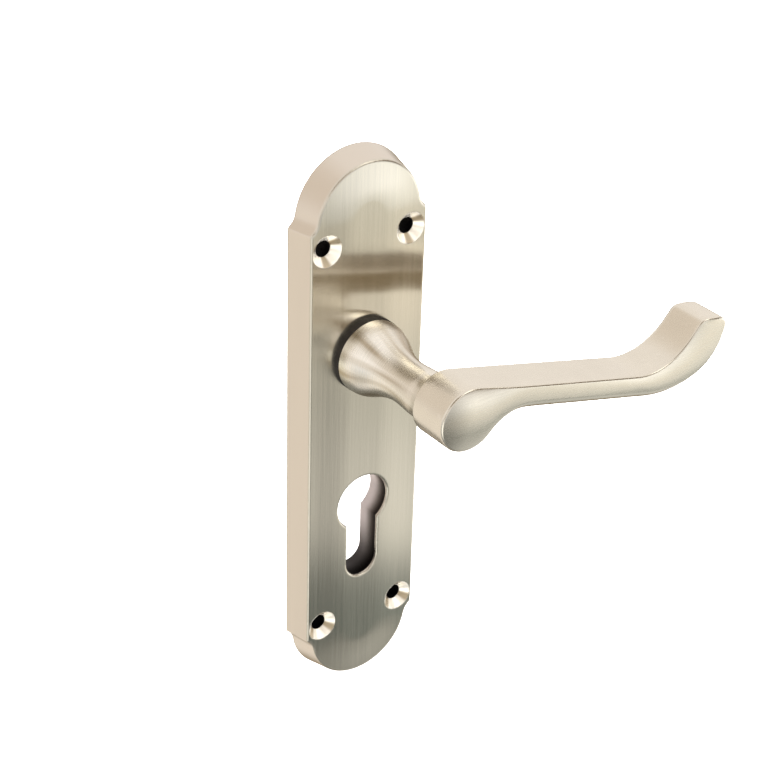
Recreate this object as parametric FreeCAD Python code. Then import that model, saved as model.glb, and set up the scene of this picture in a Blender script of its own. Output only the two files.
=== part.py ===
import FreeCAD, Part
import math
import os

# A sprung lever handle on an arched backplate with a euro-profile cut-out.
# Millimetres. The origin is on the lever's turning axis, in the plane of the door's face.
# +Z is up, +Y goes into the door, +X is the way the lever arm points. The handle stands out to -Y.

V = FreeCAD.Vector

# ---- driving dimensions -------------------------------------------------------------------------

# backplate
plate_height = 172.0
plate_width = 42.0
plate_centre_z = -26.0        # below the lever axis
plate_draft = 2.0             # how far the side wall leans in from the door face to the front
plate_wall = 2.0
plate_edge_round = 0.6
shoulder_round = 1.2
shoulder_step = 2.1           # how much narrower the arch is than the plate, each side
shoulder_drop = 19.4          # shoulder corners, from the plate's end
shoulder_hollow = 5.0         # concave radius between shoulder and arch

# fixing screws
screw_edge_distance = 7.15    # hole centre to the plate's side
screw_end_distance = 24.3     # hole centre to the plate's end
screw_offset_z = -0.7         # the four holes' centre, from the plate's centre
screw_hole_radius = 2.25
countersink_radius = 4.6
screw_post_radius = 5.0

# euro-profile cut-out
euro_centre_z = -49.5
euro_circle_radius = 8.75
euro_slot_width = 10.7
euro_bottom_drop = 25.6       # from the circle's centre to the bottom of the slot
euro_collar_wall = 1.6
euro_edge_round = 0.5

# lever neck
spindle_square = 8.1
socket_depth = 26.0
shank_wall = 1.8              # outside the socket's corners
shank_flat_depth = 0.8
shank_recess = 0.2            # shank end below the door face
neck_base_radius = 11.0
neck_waist_wall = 0.75        # outside the socket's corners
neck_end_radius = 7.9
neck_end_slope = 0.3          # how fast the neck still flares where it meets the arm
neck_length = 31.5            # from the neck's base to the arm's back face
neck_lip_drop = 0.12          # the base's edge, turned in by this much
neck_lip_share = 0.085        # and these are shares of the neck's length
neck_hip_drop = 1.15
neck_hip_share = 0.19
neck_flank_drop = 2.8
neck_flank_share = 0.30
neck_throat_swell = 0.25
neck_throat_share = 0.46
neck_waist_share = 0.61
neck_flare_swell = 0.45
neck_flare_share = 0.81
spigot_radius = 5.0
spigot_length = 8.0
seat_clearance = 0.02

# lever arm, laid out along its own straight run
arm_depth = 14.0
arm_thickness = 7.2
arm_droop_deg = 13.75
arm_run = 59.0                # straight top, from the head to the start of the curl
head_radius = 9.4
head_rise = 1.16              # head's centre above the turning axis
throat_radius = 12.0          # concave blend under the head
curl_radius = 20.0
curl_turn_deg = 65.0
curl_rise = 3.5               # straight stretch above the curl
tip_back_radius = 3.6
tip_top_length = 4.0
tip_top_slope_deg = 5.0
tip_front_radius = 4.0
tip_drop = 2.0                # straight stretch below the tip's rounded nose
belly_radius = 15.0
belly_turn_deg = 55.0
arm_edge_round = 1.1

# bush
bush_wall = 1.35
bush_flange_proud = 0.1       # beyond the neck's base
bush_flange_thickness = 1.9
running_clearance = 0.05

# spring
spring_wire = 1.0
spring_turns = 1.75
spring_end_play = 0.35        # spare height over the closed coils
spring_gap = 0.9              # round the collar, taken up as the coil tightens
spring_leg_reach = 2.7        # beyond the coil
spring_fixed_deg = 330.0
spring_hole_clearance = 0.25
anchor_half_width = 2.6
anchor_height = 1.6
anchor_gap = 1.2              # from the wire's centre line to the lug
anchor_margin = 1.4           # past the leg's end
anchor_slot_clearance = 0.2

# drive plate and its stops
collar_wall = 1.7
drive_thickness = 1.2
drive_margin = 0.7            # beyond the coil
drive_tab_reach = 2.0         # beyond the spring's leg
drive_tab_half_deg = 11.0
drive_ear_half_deg = 9.0
drive_clearance = 0.1
lever_travel_deg = 45.0
stop_gap_deg = 1.0
stop_width_deg = 12.0
stop_gap = 1.4                # from the drive plate's disc to the stops
stop_overhang = 0.2           # beyond the tab
stop_recess = 0.1             # below the drive plate's back

# cover and its screws
cover_thickness = 0.8
cover_side_margin = 5.0       # from the plate's side
cover_end_margin = 4.5        # past the screws
cover_corner = 7.0
cover_hole_gap = 0.6          # round the washer
cover_post_gap = 1.5          # from the drive plate's tab to the posts
cover_notch_gap = 0.5         # from a fixing screw's post to a cover corner that it comes near
cover_post_radius = 2.8
cover_screw_radius = 1.25
cover_head_radius = 2.3
cover_head_height = 0.8
cover_head_round = 0.3
cover_slot_depth = 0.4
cover_slot_width = 0.6
cover_pilot_floor = 0.6       # metal left under the screw's pilot hole
cover_pilot_spare = 0.4       # below the screw's end
back_recess = 0.4             # from the screw heads to the door face

# retention
washer_thickness = 0.4
washer_lip = 1.8              # beyond the shank
circlip_thickness = 0.7
circlip_lip = 1.2             # beyond the shank
circlip_ear_reach = 2.05      # beyond the shank
circlip_ear_half_deg = 7.0
circlip_hole_radius = 0.5
circlip_gap_deg = 26.0
circlip_gap_centre_deg = 90.0
groove_depth = 0.7

# joint pin through boss and spigot
pin_radius = 1.5
pin_bore = 0.8
pin_slot = 0.6
pin_recess = 0.5
pin_length = 11.5
pin_setback = 4.4             # from the arm's back face

# modelling allowances
overrun = 1.0                 # how far a cutting tool reaches past a face
root = 0.5                    # how far a post runs into the wall that it stands on
touch = 1e-6                  # two levels nearer than this are the same
mesh_tolerance = 0.03

# ---- derived places -----------------------------------------------------------------------------

spindle_corner = spindle_square / math.sqrt(2)
shank_radius = spindle_corner + shank_wall
shank_flat = shank_radius - shank_flat_depth
neck_waist_radius = spindle_corner + neck_waist_wall
groove_radius = shank_radius - groove_depth
bush_bore = shank_radius + running_clearance
bush_tube_radius = bush_bore + bush_wall
bush_flange_radius = neck_base_radius + bush_flange_proud
collar_radius = bush_tube_radius + collar_wall
washer_radius = shank_radius + washer_lip
circlip_radius = shank_radius + circlip_lip
circlip_ear_radius = shank_radius + circlip_ear_reach

spring_radius = collar_radius + spring_gap + spring_wire / 2
spring_leg_radius = collar_radius + spring_gap + spring_wire + spring_leg_reach
spring_moving_deg = spring_fixed_deg - 360 * spring_turns
spring_hole_radius = spring_wire / 2 + spring_hole_clearance
drive_radius = spring_radius + spring_wire / 2 + drive_margin
drive_tab_radius = spring_leg_radius + drive_tab_reach
tab_rest_deg = -90.0 + lever_travel_deg / 2
stop_inner_radius = drive_radius + stop_gap
cover_post_z = drive_tab_radius + cover_post_gap + cover_post_radius
cover_width = plate_width - 2 * cover_side_margin
cover_height = 2 * (cover_post_z + cover_end_margin)
cover_hole_radius = washer_radius + cover_hole_gap

collar_height = spring_wire * (spring_turns + 1) + spring_end_play
works_height = collar_height + 2 * drive_clearance + drive_thickness + cover_thickness + cover_head_height
plate_depth = plate_wall + works_height + back_recess
front_y = -plate_depth
floor_y = front_y + plate_wall
root_y = floor_y - root
flange_front_y = front_y - bush_flange_thickness
neck_base_y = flange_front_y - running_clearance
arm_back_y = neck_base_y - neck_length
collar_top_y = floor_y + collar_height
drive_front_y = collar_top_y + drive_clearance
drive_back_y = drive_front_y + drive_thickness
cover_front_y = drive_back_y + drive_clearance
cover_back_y = cover_front_y + cover_thickness
washer_front_y = drive_back_y + running_clearance
circlip_front_y = washer_front_y + washer_thickness + running_clearance
circlip_back_y = circlip_front_y + circlip_thickness
spring_front_y = floor_y + running_clearance + spring_wire / 2
spring_back_y = collar_top_y - spring_wire / 2 - drive_clearance
socket_bottom_y = -shank_recess - socket_depth

arch_radius = plate_width / 2 - shoulder_step
shoulder_height = plate_height / 2 - shoulder_drop
screw_x = plate_width / 2 - screw_edge_distance
screw_z = plate_height / 2 - screw_end_distance
screw_centre_z = plate_centre_z + screw_offset_z


# ---- helpers ------------------------------------------------------------------------------------

def rod(radius, start_y, end_y, x=0.0, z=0.0):
    """A cylinder along Y between two depths."""
    low = min(start_y, end_y)
    return Part.makeCylinder(radius, abs(end_y - start_y), V(x, low, z), V(0, 1, 0))


def ring(outer, inner, start_y, end_y):
    """A flat ring or tube about the turning axis."""
    return rod(outer, start_y, end_y).cut(rod(inner, start_y - overrun, end_y + overrun))


def block(low, high):
    """A box between two corners."""
    size = high - low
    return Part.makeBox(size.x, size.y, size.z, low)


def polar(radius, degrees, y=0.0):
    """A point about the turning axis; 0 degrees is +X and 90 is +Z."""
    turn = math.radians(degrees)
    return V(radius * math.cos(turn), y, radius * math.sin(turn))


def arc(start, middle, end):
    return Part.Arc(start, middle, end).toShape()


def line(start, end):
    return Part.LineSegment(start, end).toShape()


def sector(inner, outer, start_deg, end_deg, start_y, end_y):
    """A piece of a flat ring between two angles."""
    middle_deg = (start_deg + end_deg) / 2
    inside = [polar(inner, degrees, start_y) for degrees in (start_deg, middle_deg, end_deg)]
    outside = [polar(outer, degrees, start_y) for degrees in (start_deg, middle_deg, end_deg)]
    edges = [line(inside[0], outside[0]), arc(*outside), line(outside[2], inside[2]), arc(*reversed(inside))]
    return Part.Face(Part.Wire(edges)).extrude(V(0, end_y - start_y, 0))


def screw_centres():
    """The x and z of the four fixing holes."""
    return [(side * screw_x, screw_centre_z + level * screw_z) for side in (-1, 1) for level in (1, -1)]


# ---- backplate ----------------------------------------------------------------------------------

def plate_outline(inset, y):
    """The shouldered, arched outline, drawn in by inset."""
    half = plate_width / 2 - inset
    radius = arch_radius - inset
    hollow = shoulder_hollow + inset / 2
    arch_z = plate_height / 2 - arch_radius
    reach = math.hypot(half, shoulder_height - arch_z)
    along = ((radius + hollow) ** 2 - hollow ** 2 + reach ** 2) / (2 * reach)
    aside = math.sqrt((radius + hollow) ** 2 - along ** 2)
    ux = half / reach
    uz = (shoulder_height - arch_z) / reach
    hollow_x = along * ux - aside * uz
    hollow_z = arch_z + along * uz + aside * ux
    meet_x = radius * hollow_x / (radius + hollow)
    meet_z = arch_z + radius * (hollow_z - arch_z) / (radius + hollow)
    chord_x = (half + meet_x) / 2 - hollow_x
    chord_z = (shoulder_height + meet_z) / 2 - hollow_z
    chord = math.hypot(chord_x, chord_z)
    mid_x = hollow_x + hollow * chord_x / chord
    mid_z = hollow_z + hollow * chord_z / chord

    def at(x, z):
        return V(x, y, plate_centre_z + z)

    edges = []
    edges.append(line(at(half, -shoulder_height), at(half, shoulder_height)))
    edges.append(arc(at(half, shoulder_height), at(mid_x, mid_z), at(meet_x, meet_z)))
    edges.append(arc(at(meet_x, meet_z), at(0, arch_z + radius), at(-meet_x, meet_z)))
    edges.append(arc(at(-meet_x, meet_z), at(-mid_x, mid_z), at(-half, shoulder_height)))
    edges.append(line(at(-half, shoulder_height), at(-half, -shoulder_height)))
    edges.append(arc(at(-half, -shoulder_height), at(-mid_x, -mid_z), at(-meet_x, -meet_z)))
    edges.append(arc(at(-meet_x, -meet_z), at(0, -arch_z - radius), at(meet_x, -meet_z)))
    edges.append(arc(at(meet_x, -meet_z), at(mid_x, -mid_z), at(half, -shoulder_height)))
    return Part.Wire(edges)


def euro_prism(grow, start_y, end_y):
    """The euro-profile prism: a round over a round-ended slot, grown by a wall."""
    half = euro_slot_width / 2
    slot_low = euro_centre_z - euro_bottom_drop + half
    round_part = rod(euro_circle_radius + grow, start_y, end_y, 0, euro_centre_z)
    slot_end = rod(half + grow, start_y, end_y, 0, slot_low)
    slot = block(V(-half - grow, start_y, slot_low), V(half + grow, end_y, euro_centre_z))
    return round_part.fuse([slot_end, slot]).removeSplitter()


def countersunk_hole(x, z):
    depth = countersink_radius - screw_hole_radius
    cone = Part.makeCone(countersink_radius, screw_hole_radius, depth, V(x, front_y, z), V(0, 1, 0))
    mouth = rod(countersink_radius, front_y - overrun, front_y, x, z)
    return rod(screw_hole_radius, front_y - overrun, overrun, x, z).fuse([cone, mouth])


def is_level(edge, y):
    """True for an edge that lies whole at one depth."""
    return all(abs(v.Y - y) < touch for v in edge.Vertexes)


def plate_shell():
    """The pressed outside: drafted, with its shoulder corners and front rim eased."""
    shell = Part.makeLoft([plate_outline(0, 0), plate_outline(plate_draft, front_y)], True, True)
    shoulder_x = plate_width / 2 - plate_draft - touch
    corners = [e for e in shell.Edges if not is_level(e, e.Vertexes[0].Y)
               and all(abs(v.X) > shoulder_x for v in e.Vertexes)]
    shell = shell.makeFillet(shoulder_round, corners)
    rim = [e for e in shell.Edges if is_level(e, front_y)]
    return shell.makeFillet(plate_edge_round, rim)


def plate_hollow():
    """The space behind the front wall, open to the door."""
    lean = plate_draft / plate_depth
    mouth = plate_outline(plate_wall - overrun * lean, overrun)
    hollow_floor = plate_outline(plate_wall + plate_draft - plate_wall * lean, floor_y)
    return Part.makeLoft([mouth, hollow_floor], True, True)


def plate_posts():
    """What stands on the plate's floor: screw posts, bush collar, cut-out collar, cover posts and stops."""
    posts = [rod(screw_post_radius, root_y, 0, x, z) for x, z in screw_centres()]
    posts.append(rod(collar_radius, root_y, collar_top_y))
    posts.append(euro_prism(euro_collar_wall, root_y, 0))
    for side in (-1, 1):
        posts.append(rod(cover_post_radius, root_y, cover_front_y, 0, side * cover_post_z))
    rest_edge = tab_rest_deg + drive_tab_half_deg + stop_gap_deg
    far_edge = tab_rest_deg - lever_travel_deg - drive_tab_half_deg - stop_gap_deg
    stop_outer = drive_tab_radius + stop_overhang
    stop_top = drive_back_y - stop_recess
    for start_deg in (rest_edge, far_edge - stop_width_deg):
        end_deg = start_deg + stop_width_deg
        posts.append(sector(stop_inner_radius, stop_outer, start_deg, end_deg, root_y, stop_top))
    posts.append(spring_anchor())
    return posts


def make_backplate():
    body = plate_shell().cut(plate_hollow())
    half_wall = plate_wall / 2
    wall_middle = [plate_outline(half_wall, 0), plate_outline(half_wall + plate_draft, front_y)]
    within = Part.makeLoft(wall_middle, True, True)
    body = body.fuse([post.common(within) for post in plate_posts()])
    body = body.cut([countersunk_hole(x, z) for x, z in screw_centres()])
    body = body.cut(euro_prism(0, front_y - overrun, overrun))
    body = body.cut(rod(bush_tube_radius, front_y - overrun, overrun))
    for side in (-1, 1):
        body = body.cut(rod(cover_screw_radius, floor_y + cover_pilot_floor, overrun, 0, side * cover_post_z))
    body = body.removeSplitter()
    lip = [e for e in body.Edges if on_euro_mouth(e)]
    return body.makeFillet(euro_edge_round, lip)


def on_euro_mouth(edge):
    """True for the edges of the euro cut-out in the plate's front face."""
    box = edge.BoundBox
    low_z = euro_centre_z - euro_bottom_drop
    high_z = euro_centre_z + euro_circle_radius
    inside = box.ZMin > low_z - touch and box.ZMax < high_z + touch and box.XMax < euro_circle_radius + touch
    return is_level(edge, front_y) and inside and box.XMin > -euro_circle_radius - touch


def spring_anchor():
    """A forked lug that holds the spring's fixed leg."""
    low = V(spring_radius + anchor_gap, root_y, -anchor_half_width)
    high = V(spring_leg_radius + anchor_margin, spring_front_y + anchor_height, anchor_half_width)
    half_slot = (spring_wire + anchor_slot_clearance) / 2
    slot = block(V(spring_radius, floor_y, -half_slot), V(high.x + overrun, overrun, half_slot))
    lug = block(low, high).cut(slot)
    lug.rotate(V(0, 0, 0), V(0, 1, 0), -spring_fixed_deg)
    return lug


# ---- bush and neck ------------------------------------------------------------------------------

def make_plate_bush():
    flange = ring(bush_flange_radius, bush_bore, flange_front_y, front_y)
    tube = ring(bush_tube_radius, bush_bore, front_y, collar_top_y)
    return flange.fuse(tube).removeSplitter()


def neck_solid():
    """The turned trumpet: a smooth line through its radii, swept once round."""
    shape_points = [
        (neck_base_radius, 0.0),
        (neck_base_radius - neck_lip_drop, neck_lip_share),
        (neck_base_radius - neck_hip_drop, neck_hip_share),
        (neck_base_radius - neck_flank_drop, neck_flank_share),
        (neck_waist_radius + neck_throat_swell, neck_throat_share),
        (neck_waist_radius, neck_waist_share),
        (neck_waist_radius + neck_flare_swell, neck_flare_share),
        (neck_end_radius, 1.0),
    ]
    points = [V(radius, neck_base_y - share * neck_length, 0) for radius, share in shape_points]
    curve = Part.BSplineCurve()
    curve.interpolate(Points=points, InitialTangent=V(0, -1, 0), FinalTangent=V(neck_end_slope, -1, 0))
    base = V(0, neck_base_y, 0)
    top = V(0, arm_back_y, 0)
    edges = [line(base, points[0]), curve.toShape(), line(points[-1], top), line(top, base)]
    return Part.Face(Part.Wire(edges)).revolve(V(0, 0, 0), V(0, 1, 0), 360)


def drive_flats(near, start_y, end_y):
    """The two blocks outside a pair of flats."""
    far = shank_radius + overrun
    return [block(V(low, start_y, -far), V(high, end_y, far)) for low, high in ((-far, -near), (near, far))]


def make_lever_neck():
    """The trumpet neck with its shank through the plate and its spigot into the arm."""
    shank = rod(shank_radius, neck_base_y, -shank_recess)
    shank = shank.cut(drive_flats(shank_flat, drive_front_y - running_clearance, overrun))
    groove_low = circlip_front_y - running_clearance
    groove_high = circlip_back_y + running_clearance
    shank = shank.cut(ring(shank_radius + overrun, groove_radius, groove_low, groove_high))
    spigot = rod(spigot_radius, arm_back_y, arm_back_y - spigot_length)
    half = spindle_square / 2
    socket = block(V(-half, socket_bottom_y, -half), V(half, overrun, half))
    return neck_solid().fuse([shank, spigot]).cut([socket, pin_hole()]).removeSplitter()


def pin_hole():
    """The bore for the joint pin, upwards from under the boss."""
    top_z = head_rise - head_radius + pin_recess + pin_length
    low_z = head_rise - head_radius - overrun
    return Part.makeCylinder(pin_radius, top_z - low_z, V(0, arm_back_y - pin_setback, low_z), V(0, 0, 1))


# ---- lever arm ----------------------------------------------------------------------------------

def arm_frame(u, v):
    """A point of the arm's outline: u along its straight run, v up from the head's centre."""
    droop = math.radians(arm_droop_deg)
    x = u * math.cos(droop) + v * math.sin(droop)
    z = head_rise - u * math.sin(droop) + v * math.cos(droop)
    return V(x, arm_back_y, z)


class OutlinePen:
    """Draws tangent lines and arcs one after another in the arm's own frame."""

    def __init__(self, u, v, heading_deg):
        self.u = u
        self.v = v
        self.heading = math.radians(heading_deg)
        self.edges = []

    def run(self, length):
        u = self.u + length * math.cos(self.heading)
        v = self.v + length * math.sin(self.heading)
        self.edges.append(line(arm_frame(self.u, self.v), arm_frame(u, v)))
        self.u = u
        self.v = v

    def bend(self, radius, turn_deg):
        """Left for a positive turn, right for a negative one."""
        side = 1 if turn_deg > 0 else -1
        centre_u = self.u - side * radius * math.sin(self.heading)
        centre_v = self.v + side * radius * math.cos(self.heading)
        turn = math.radians(turn_deg)

        def at(share):
            heading = self.heading + turn * share
            u = centre_u + side * radius * math.sin(heading)
            v = centre_v - side * radius * math.cos(heading)
            return (u, v)

        middle = at(0.5)
        end = at(1.0)
        self.edges.append(arc(arm_frame(self.u, self.v), arm_frame(*middle), arm_frame(*end)))
        self.u = end[0]
        self.v = end[1]
        self.heading += turn


def arm_outline():
    """The arm seen from the front: head, straight run, upward curl and rounded tip."""
    under = head_radius - arm_thickness
    pen = OutlinePen(0, head_radius, 0)
    pen.run(arm_run)
    pen.bend(curl_radius, curl_turn_deg)
    pen.run(curl_rise)
    pen.bend(tip_back_radius, tip_top_slope_deg - curl_turn_deg)
    pen.run(tip_top_length)
    pen.bend(tip_front_radius, -90 - tip_top_slope_deg)
    pen.run(tip_drop)
    pen.bend(belly_radius, -belly_turn_deg)
    rest_turn = 90 - belly_turn_deg
    sole_radius = (pen.v - under) / (1 - math.cos(math.radians(rest_turn)))
    pen.bend(sole_radius, -rest_turn)
    throat_u = math.sqrt((head_radius + throat_radius) ** 2 - (under - throat_radius) ** 2)
    pen.run(pen.u - throat_u)
    throat_turn = math.degrees(math.atan2(throat_u, throat_radius - under))
    pen.bend(throat_radius, throat_turn)
    pen.bend(head_radius, -(180 + throat_turn))
    return Part.Wire(pen.edges)


def make_lever_arm():
    body = Part.Face(arm_outline()).extrude(V(0, -arm_depth, 0))
    rims = [e for e in body.Edges if is_level(e, e.Vertexes[0].Y)]
    body = body.makeFillet(arm_edge_round, rims)
    socket_end_y = arm_back_y - spigot_length - running_clearance
    socket = rod(spigot_radius + seat_clearance, arm_back_y + overrun, socket_end_y)
    return body.cut([socket, pin_hole()])


def make_joint_pin():
    """A rolled pin with its slot."""
    low_z = head_rise - head_radius + pin_recess
    centre = V(0, arm_back_y - pin_setback, low_z)
    pin = Part.makeCylinder(pin_radius, pin_length, centre, V(0, 0, 1))
    bore = Part.makeCylinder(pin_bore, pin_length + 2 * overrun, centre - V(0, 0, overrun), V(0, 0, 1))
    slot_low = centre + V(-pin_slot / 2, 0, -overrun)
    slot_high = centre + V(pin_slot / 2, pin_radius + overrun, pin_length + overrun)
    slot = block(slot_low, slot_high)
    return pin.cut([bore, slot])


# ---- spring unit --------------------------------------------------------------------------------

def wire_leg(start, end):
    """A straight stretch of spring wire."""
    return Part.makeCylinder(spring_wire / 2, (end - start).Length, start, end - start)


def wire_section(slope):
    """The wire's round section at the coil's start, as two half circles, so that the sweep has no seam."""
    slope.normalize()
    out = V(spring_wire / 2, 0, 0)
    up = slope.cross(out)
    centre = V(spring_radius, 0, 0)
    upper = arc(centre + out, centre + up, centre - out)
    lower = arc(centre - out, centre - up, centre + out)
    return Part.Wire([upper, lower])


def make_return_spring():
    """A torsion spring: coils round the collar, one leg in the anchor, one through the drive plate."""
    rise = spring_back_y - spring_front_y
    pitch = rise / spring_turns
    helix = Part.makeHelix(pitch, rise, spring_radius)
    section = wire_section(V(0, 1, pitch / (2 * math.pi * spring_radius)))
    coil = Part.Wire(helix.Edges).makePipeShell([section], True, True)
    coil.rotate(V(0, 0, 0), V(1, 0, 0), -90)
    coil.translate(V(0, spring_front_y, 0))
    coil.rotate(V(0, 0, 0), V(0, 1, 0), -spring_fixed_deg)
    fixed_knee = polar(spring_radius, spring_fixed_deg, spring_front_y)
    fixed_end = polar(spring_leg_radius, spring_fixed_deg, spring_front_y)
    moving_knee = polar(spring_radius, spring_moving_deg, spring_back_y)
    moving_elbow = polar(spring_leg_radius, spring_moving_deg, spring_back_y)
    hook_end = polar(spring_leg_radius, spring_moving_deg, drive_back_y - stop_recess)
    stretches = [wire_leg(fixed_knee, fixed_end), wire_leg(moving_knee, moving_elbow)]
    stretches.append(wire_leg(moving_elbow, hook_end))
    knees = [Part.makeSphere(spring_wire / 2, knee) for knee in (fixed_knee, moving_knee, moving_elbow)]
    return coil.fuse(stretches + knees)


def make_drive_plate():
    """The stamped plate that turns with the shank, with its stop tab and the spring's hole."""
    def lug(centre_deg, half_deg):
        inner = drive_radius - drive_tab_reach
        start_deg = centre_deg - half_deg
        end_deg = centre_deg + half_deg
        return sector(inner, drive_tab_radius, start_deg, end_deg, drive_front_y, drive_back_y)

    low_y = drive_front_y - overrun
    high_y = drive_back_y + overrun
    disc = rod(drive_radius, drive_front_y, drive_back_y)
    hole = rod(bush_bore, low_y, high_y).cut(drive_flats(shank_flat + running_clearance, low_y, high_y))
    leg = polar(spring_leg_radius, spring_moving_deg)
    leg_hole = rod(spring_hole_radius, low_y, high_y, leg.x, leg.z)
    lugs = [lug(tab_rest_deg, drive_tab_half_deg), lug(spring_moving_deg, drive_ear_half_deg)]
    return disc.fuse(lugs).cut([hole, leg_hole]).removeSplitter()


# ---- cover and retention ------------------------------------------------------------------------

def cover_notches():
    """Room round the fixing screws' posts, open outwards; cover corners that come this near are cut away."""
    reach = screw_post_radius + cover_notch_gap
    low_y = cover_front_y - overrun
    high_y = cover_back_y + overrun
    notches = []
    for x, z in screw_centres():
        far_x = math.copysign(plate_width, x)
        far_z = math.copysign(plate_height, z)
        notches.append(rod(reach, low_y, high_y, x, z))
        for start_x, start_z in ((x - math.copysign(reach, x), z), (x, z - math.copysign(reach, z))):
            low = V(min(start_x, far_x), low_y, min(start_z, far_z))
            high = V(max(start_x, far_x), high_y, max(start_z, far_z))
            notches.append(block(low, high))
    return notches


def make_cover_plate():
    half_x = cover_width / 2
    half_z = cover_height / 2
    cover = block(V(-half_x, cover_front_y, -half_z), V(half_x, cover_back_y, half_z))
    corners = [e for e in cover.Edges if not is_level(e, e.Vertexes[0].Y)]
    cover = cover.makeFillet(cover_corner, corners)
    low_y = cover_front_y - overrun
    high_y = cover_back_y + overrun
    holes = [rod(cover_hole_radius, low_y, high_y)]
    for side in (-1, 1):
        holes.append(rod(cover_screw_radius, low_y, high_y, 0, side * cover_post_z))
    return cover.cut(holes + cover_notches())


def make_cover_screws():
    """Two small slotted screws, as one group."""
    head_top_y = cover_back_y + cover_head_height
    stem_end_y = floor_y + cover_pilot_floor + cover_pilot_spare
    solids = []
    for side in (-1, 1):
        z = side * cover_post_z
        head = rod(cover_head_radius, cover_back_y, head_top_y, 0, z)
        rim = [e for e in head.Edges if is_level(e, head_top_y)]
        head = head.makeFillet(cover_head_round, rim)
        stem = rod(cover_screw_radius, stem_end_y, cover_back_y, 0, z)
        slot_low = V(-cover_head_radius, head_top_y - cover_slot_depth, z - cover_slot_width / 2)
        slot_high = V(cover_head_radius, overrun, z + cover_slot_width / 2)
        solids.append(head.fuse(stem).cut(block(slot_low, slot_high)).removeSplitter())
    return Part.makeCompound(solids)


def make_retaining_washer():
    return ring(washer_radius, bush_bore, washer_front_y, washer_front_y + washer_thickness)


def make_retaining_circlip():
    """An open ring in the shank's groove, with two drilled ears at its gap."""
    inner = groove_radius + seat_clearance
    low_y = circlip_front_y - overrun
    high_y = circlip_back_y + overrun
    half_gap = circlip_gap_deg / 2
    gap_start = circlip_gap_centre_deg - half_gap
    gap_end = circlip_gap_centre_deg + half_gap
    gap = sector(inner - overrun, circlip_ear_radius + overrun, gap_start, gap_end, low_y, high_y)
    body = ring(circlip_radius, inner, circlip_front_y, circlip_back_y).cut(gap)
    for side in (-1, 1):
        ear_deg = circlip_gap_centre_deg + side * (half_gap + circlip_ear_half_deg)
        ear_start = ear_deg - circlip_ear_half_deg
        ear_end = ear_deg + circlip_ear_half_deg
        ear = sector(inner, circlip_ear_radius, ear_start, ear_end, circlip_front_y, circlip_back_y)
        spot = polar((inner + circlip_ear_radius) / 2, ear_deg)
        body = body.fuse(ear).cut(rod(circlip_hole_radius, low_y, high_y, spot.x, spot.z))
    return body.removeSplitter()


# ---- export -------------------------------------------------------------------------------------

makers = {
    "backplate": make_backplate,
    "plate_bush": make_plate_bush,
    "lever_neck": make_lever_neck,
    "lever_arm": make_lever_arm,
    "joint_pin": make_joint_pin,
    "return_spring": make_return_spring,
    "drive_plate": make_drive_plate,
    "cover_plate": make_cover_plate,
    "cover_screws": make_cover_screws,
    "retaining_washer": make_retaining_washer,
    "retaining_circlip": make_retaining_circlip,
}


def mesh_volume(shape):
    """The volume inside the shape's triangles, to compare with the solid's own."""
    points, triangles = shape.tessellate(mesh_tolerance)
    return sum(points[a].dot(points[b].cross(points[c])) for a, b, c in triangles) / 6


os.makedirs("parts", exist_ok=True)
for name, maker in makers.items():
    shape = maker()
    shape.exportStep("parts/%s.step" % name)
    print(name, shape.isValid(), len(shape.Solids), round(shape.Volume, 1), round(mesh_volume(shape), 1))
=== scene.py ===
import math

import bmesh
import bpy
import numpy as np
from bpy.props import FloatProperty, FloatVectorProperty, PointerProperty
from mathutils import Matrix, Vector


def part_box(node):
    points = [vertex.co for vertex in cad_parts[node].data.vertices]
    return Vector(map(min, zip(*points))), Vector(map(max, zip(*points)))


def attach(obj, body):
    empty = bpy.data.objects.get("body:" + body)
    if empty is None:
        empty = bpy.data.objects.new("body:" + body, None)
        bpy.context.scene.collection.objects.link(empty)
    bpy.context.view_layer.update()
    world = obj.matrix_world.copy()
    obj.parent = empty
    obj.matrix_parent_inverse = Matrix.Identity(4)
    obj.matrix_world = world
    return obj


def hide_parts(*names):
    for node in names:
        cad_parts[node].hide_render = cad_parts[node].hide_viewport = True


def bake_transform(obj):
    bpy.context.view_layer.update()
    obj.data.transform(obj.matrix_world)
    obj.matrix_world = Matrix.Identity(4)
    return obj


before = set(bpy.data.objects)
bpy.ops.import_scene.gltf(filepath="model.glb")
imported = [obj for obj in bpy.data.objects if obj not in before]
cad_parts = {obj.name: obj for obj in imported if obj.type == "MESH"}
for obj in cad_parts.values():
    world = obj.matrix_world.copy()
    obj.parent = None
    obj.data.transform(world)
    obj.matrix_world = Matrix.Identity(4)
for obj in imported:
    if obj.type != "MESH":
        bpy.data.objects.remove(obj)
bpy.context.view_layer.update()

bl_info = {
    "name": "Lever handle on an arched backplate",
    "version": (1, 0, 0),
    "blender": (4, 5, 0),
    "location": "3D View > Sidebar > Handle",
    "description": "Finishes, castings and studio for a satin nickel lever handle and its backplate",
    "category": "Object",
}

MM = 0.001
PLATE_LOW, PLATE_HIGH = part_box("backplate")
ARM_LOW, ARM_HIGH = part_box("lever_arm")
SPRING_LOW, SPRING_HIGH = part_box("return_spring")


def size(name, description, default):
    """A length setting, given in millimetres."""
    return FloatProperty(name=name, description=description, default=default * MM, unit="LENGTH", precision=5)


def share(name, description, default):
    return FloatProperty(name=name, description=description, default=default, min=0.0, max=1.0)


def tint(name, description, default):
    return FloatVectorProperty(name=name, description=description, subtype="COLOR", default=default,
                               min=0.0, max=1.0)


# ---- settings -----------------------------------------------------------------------------------

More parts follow.
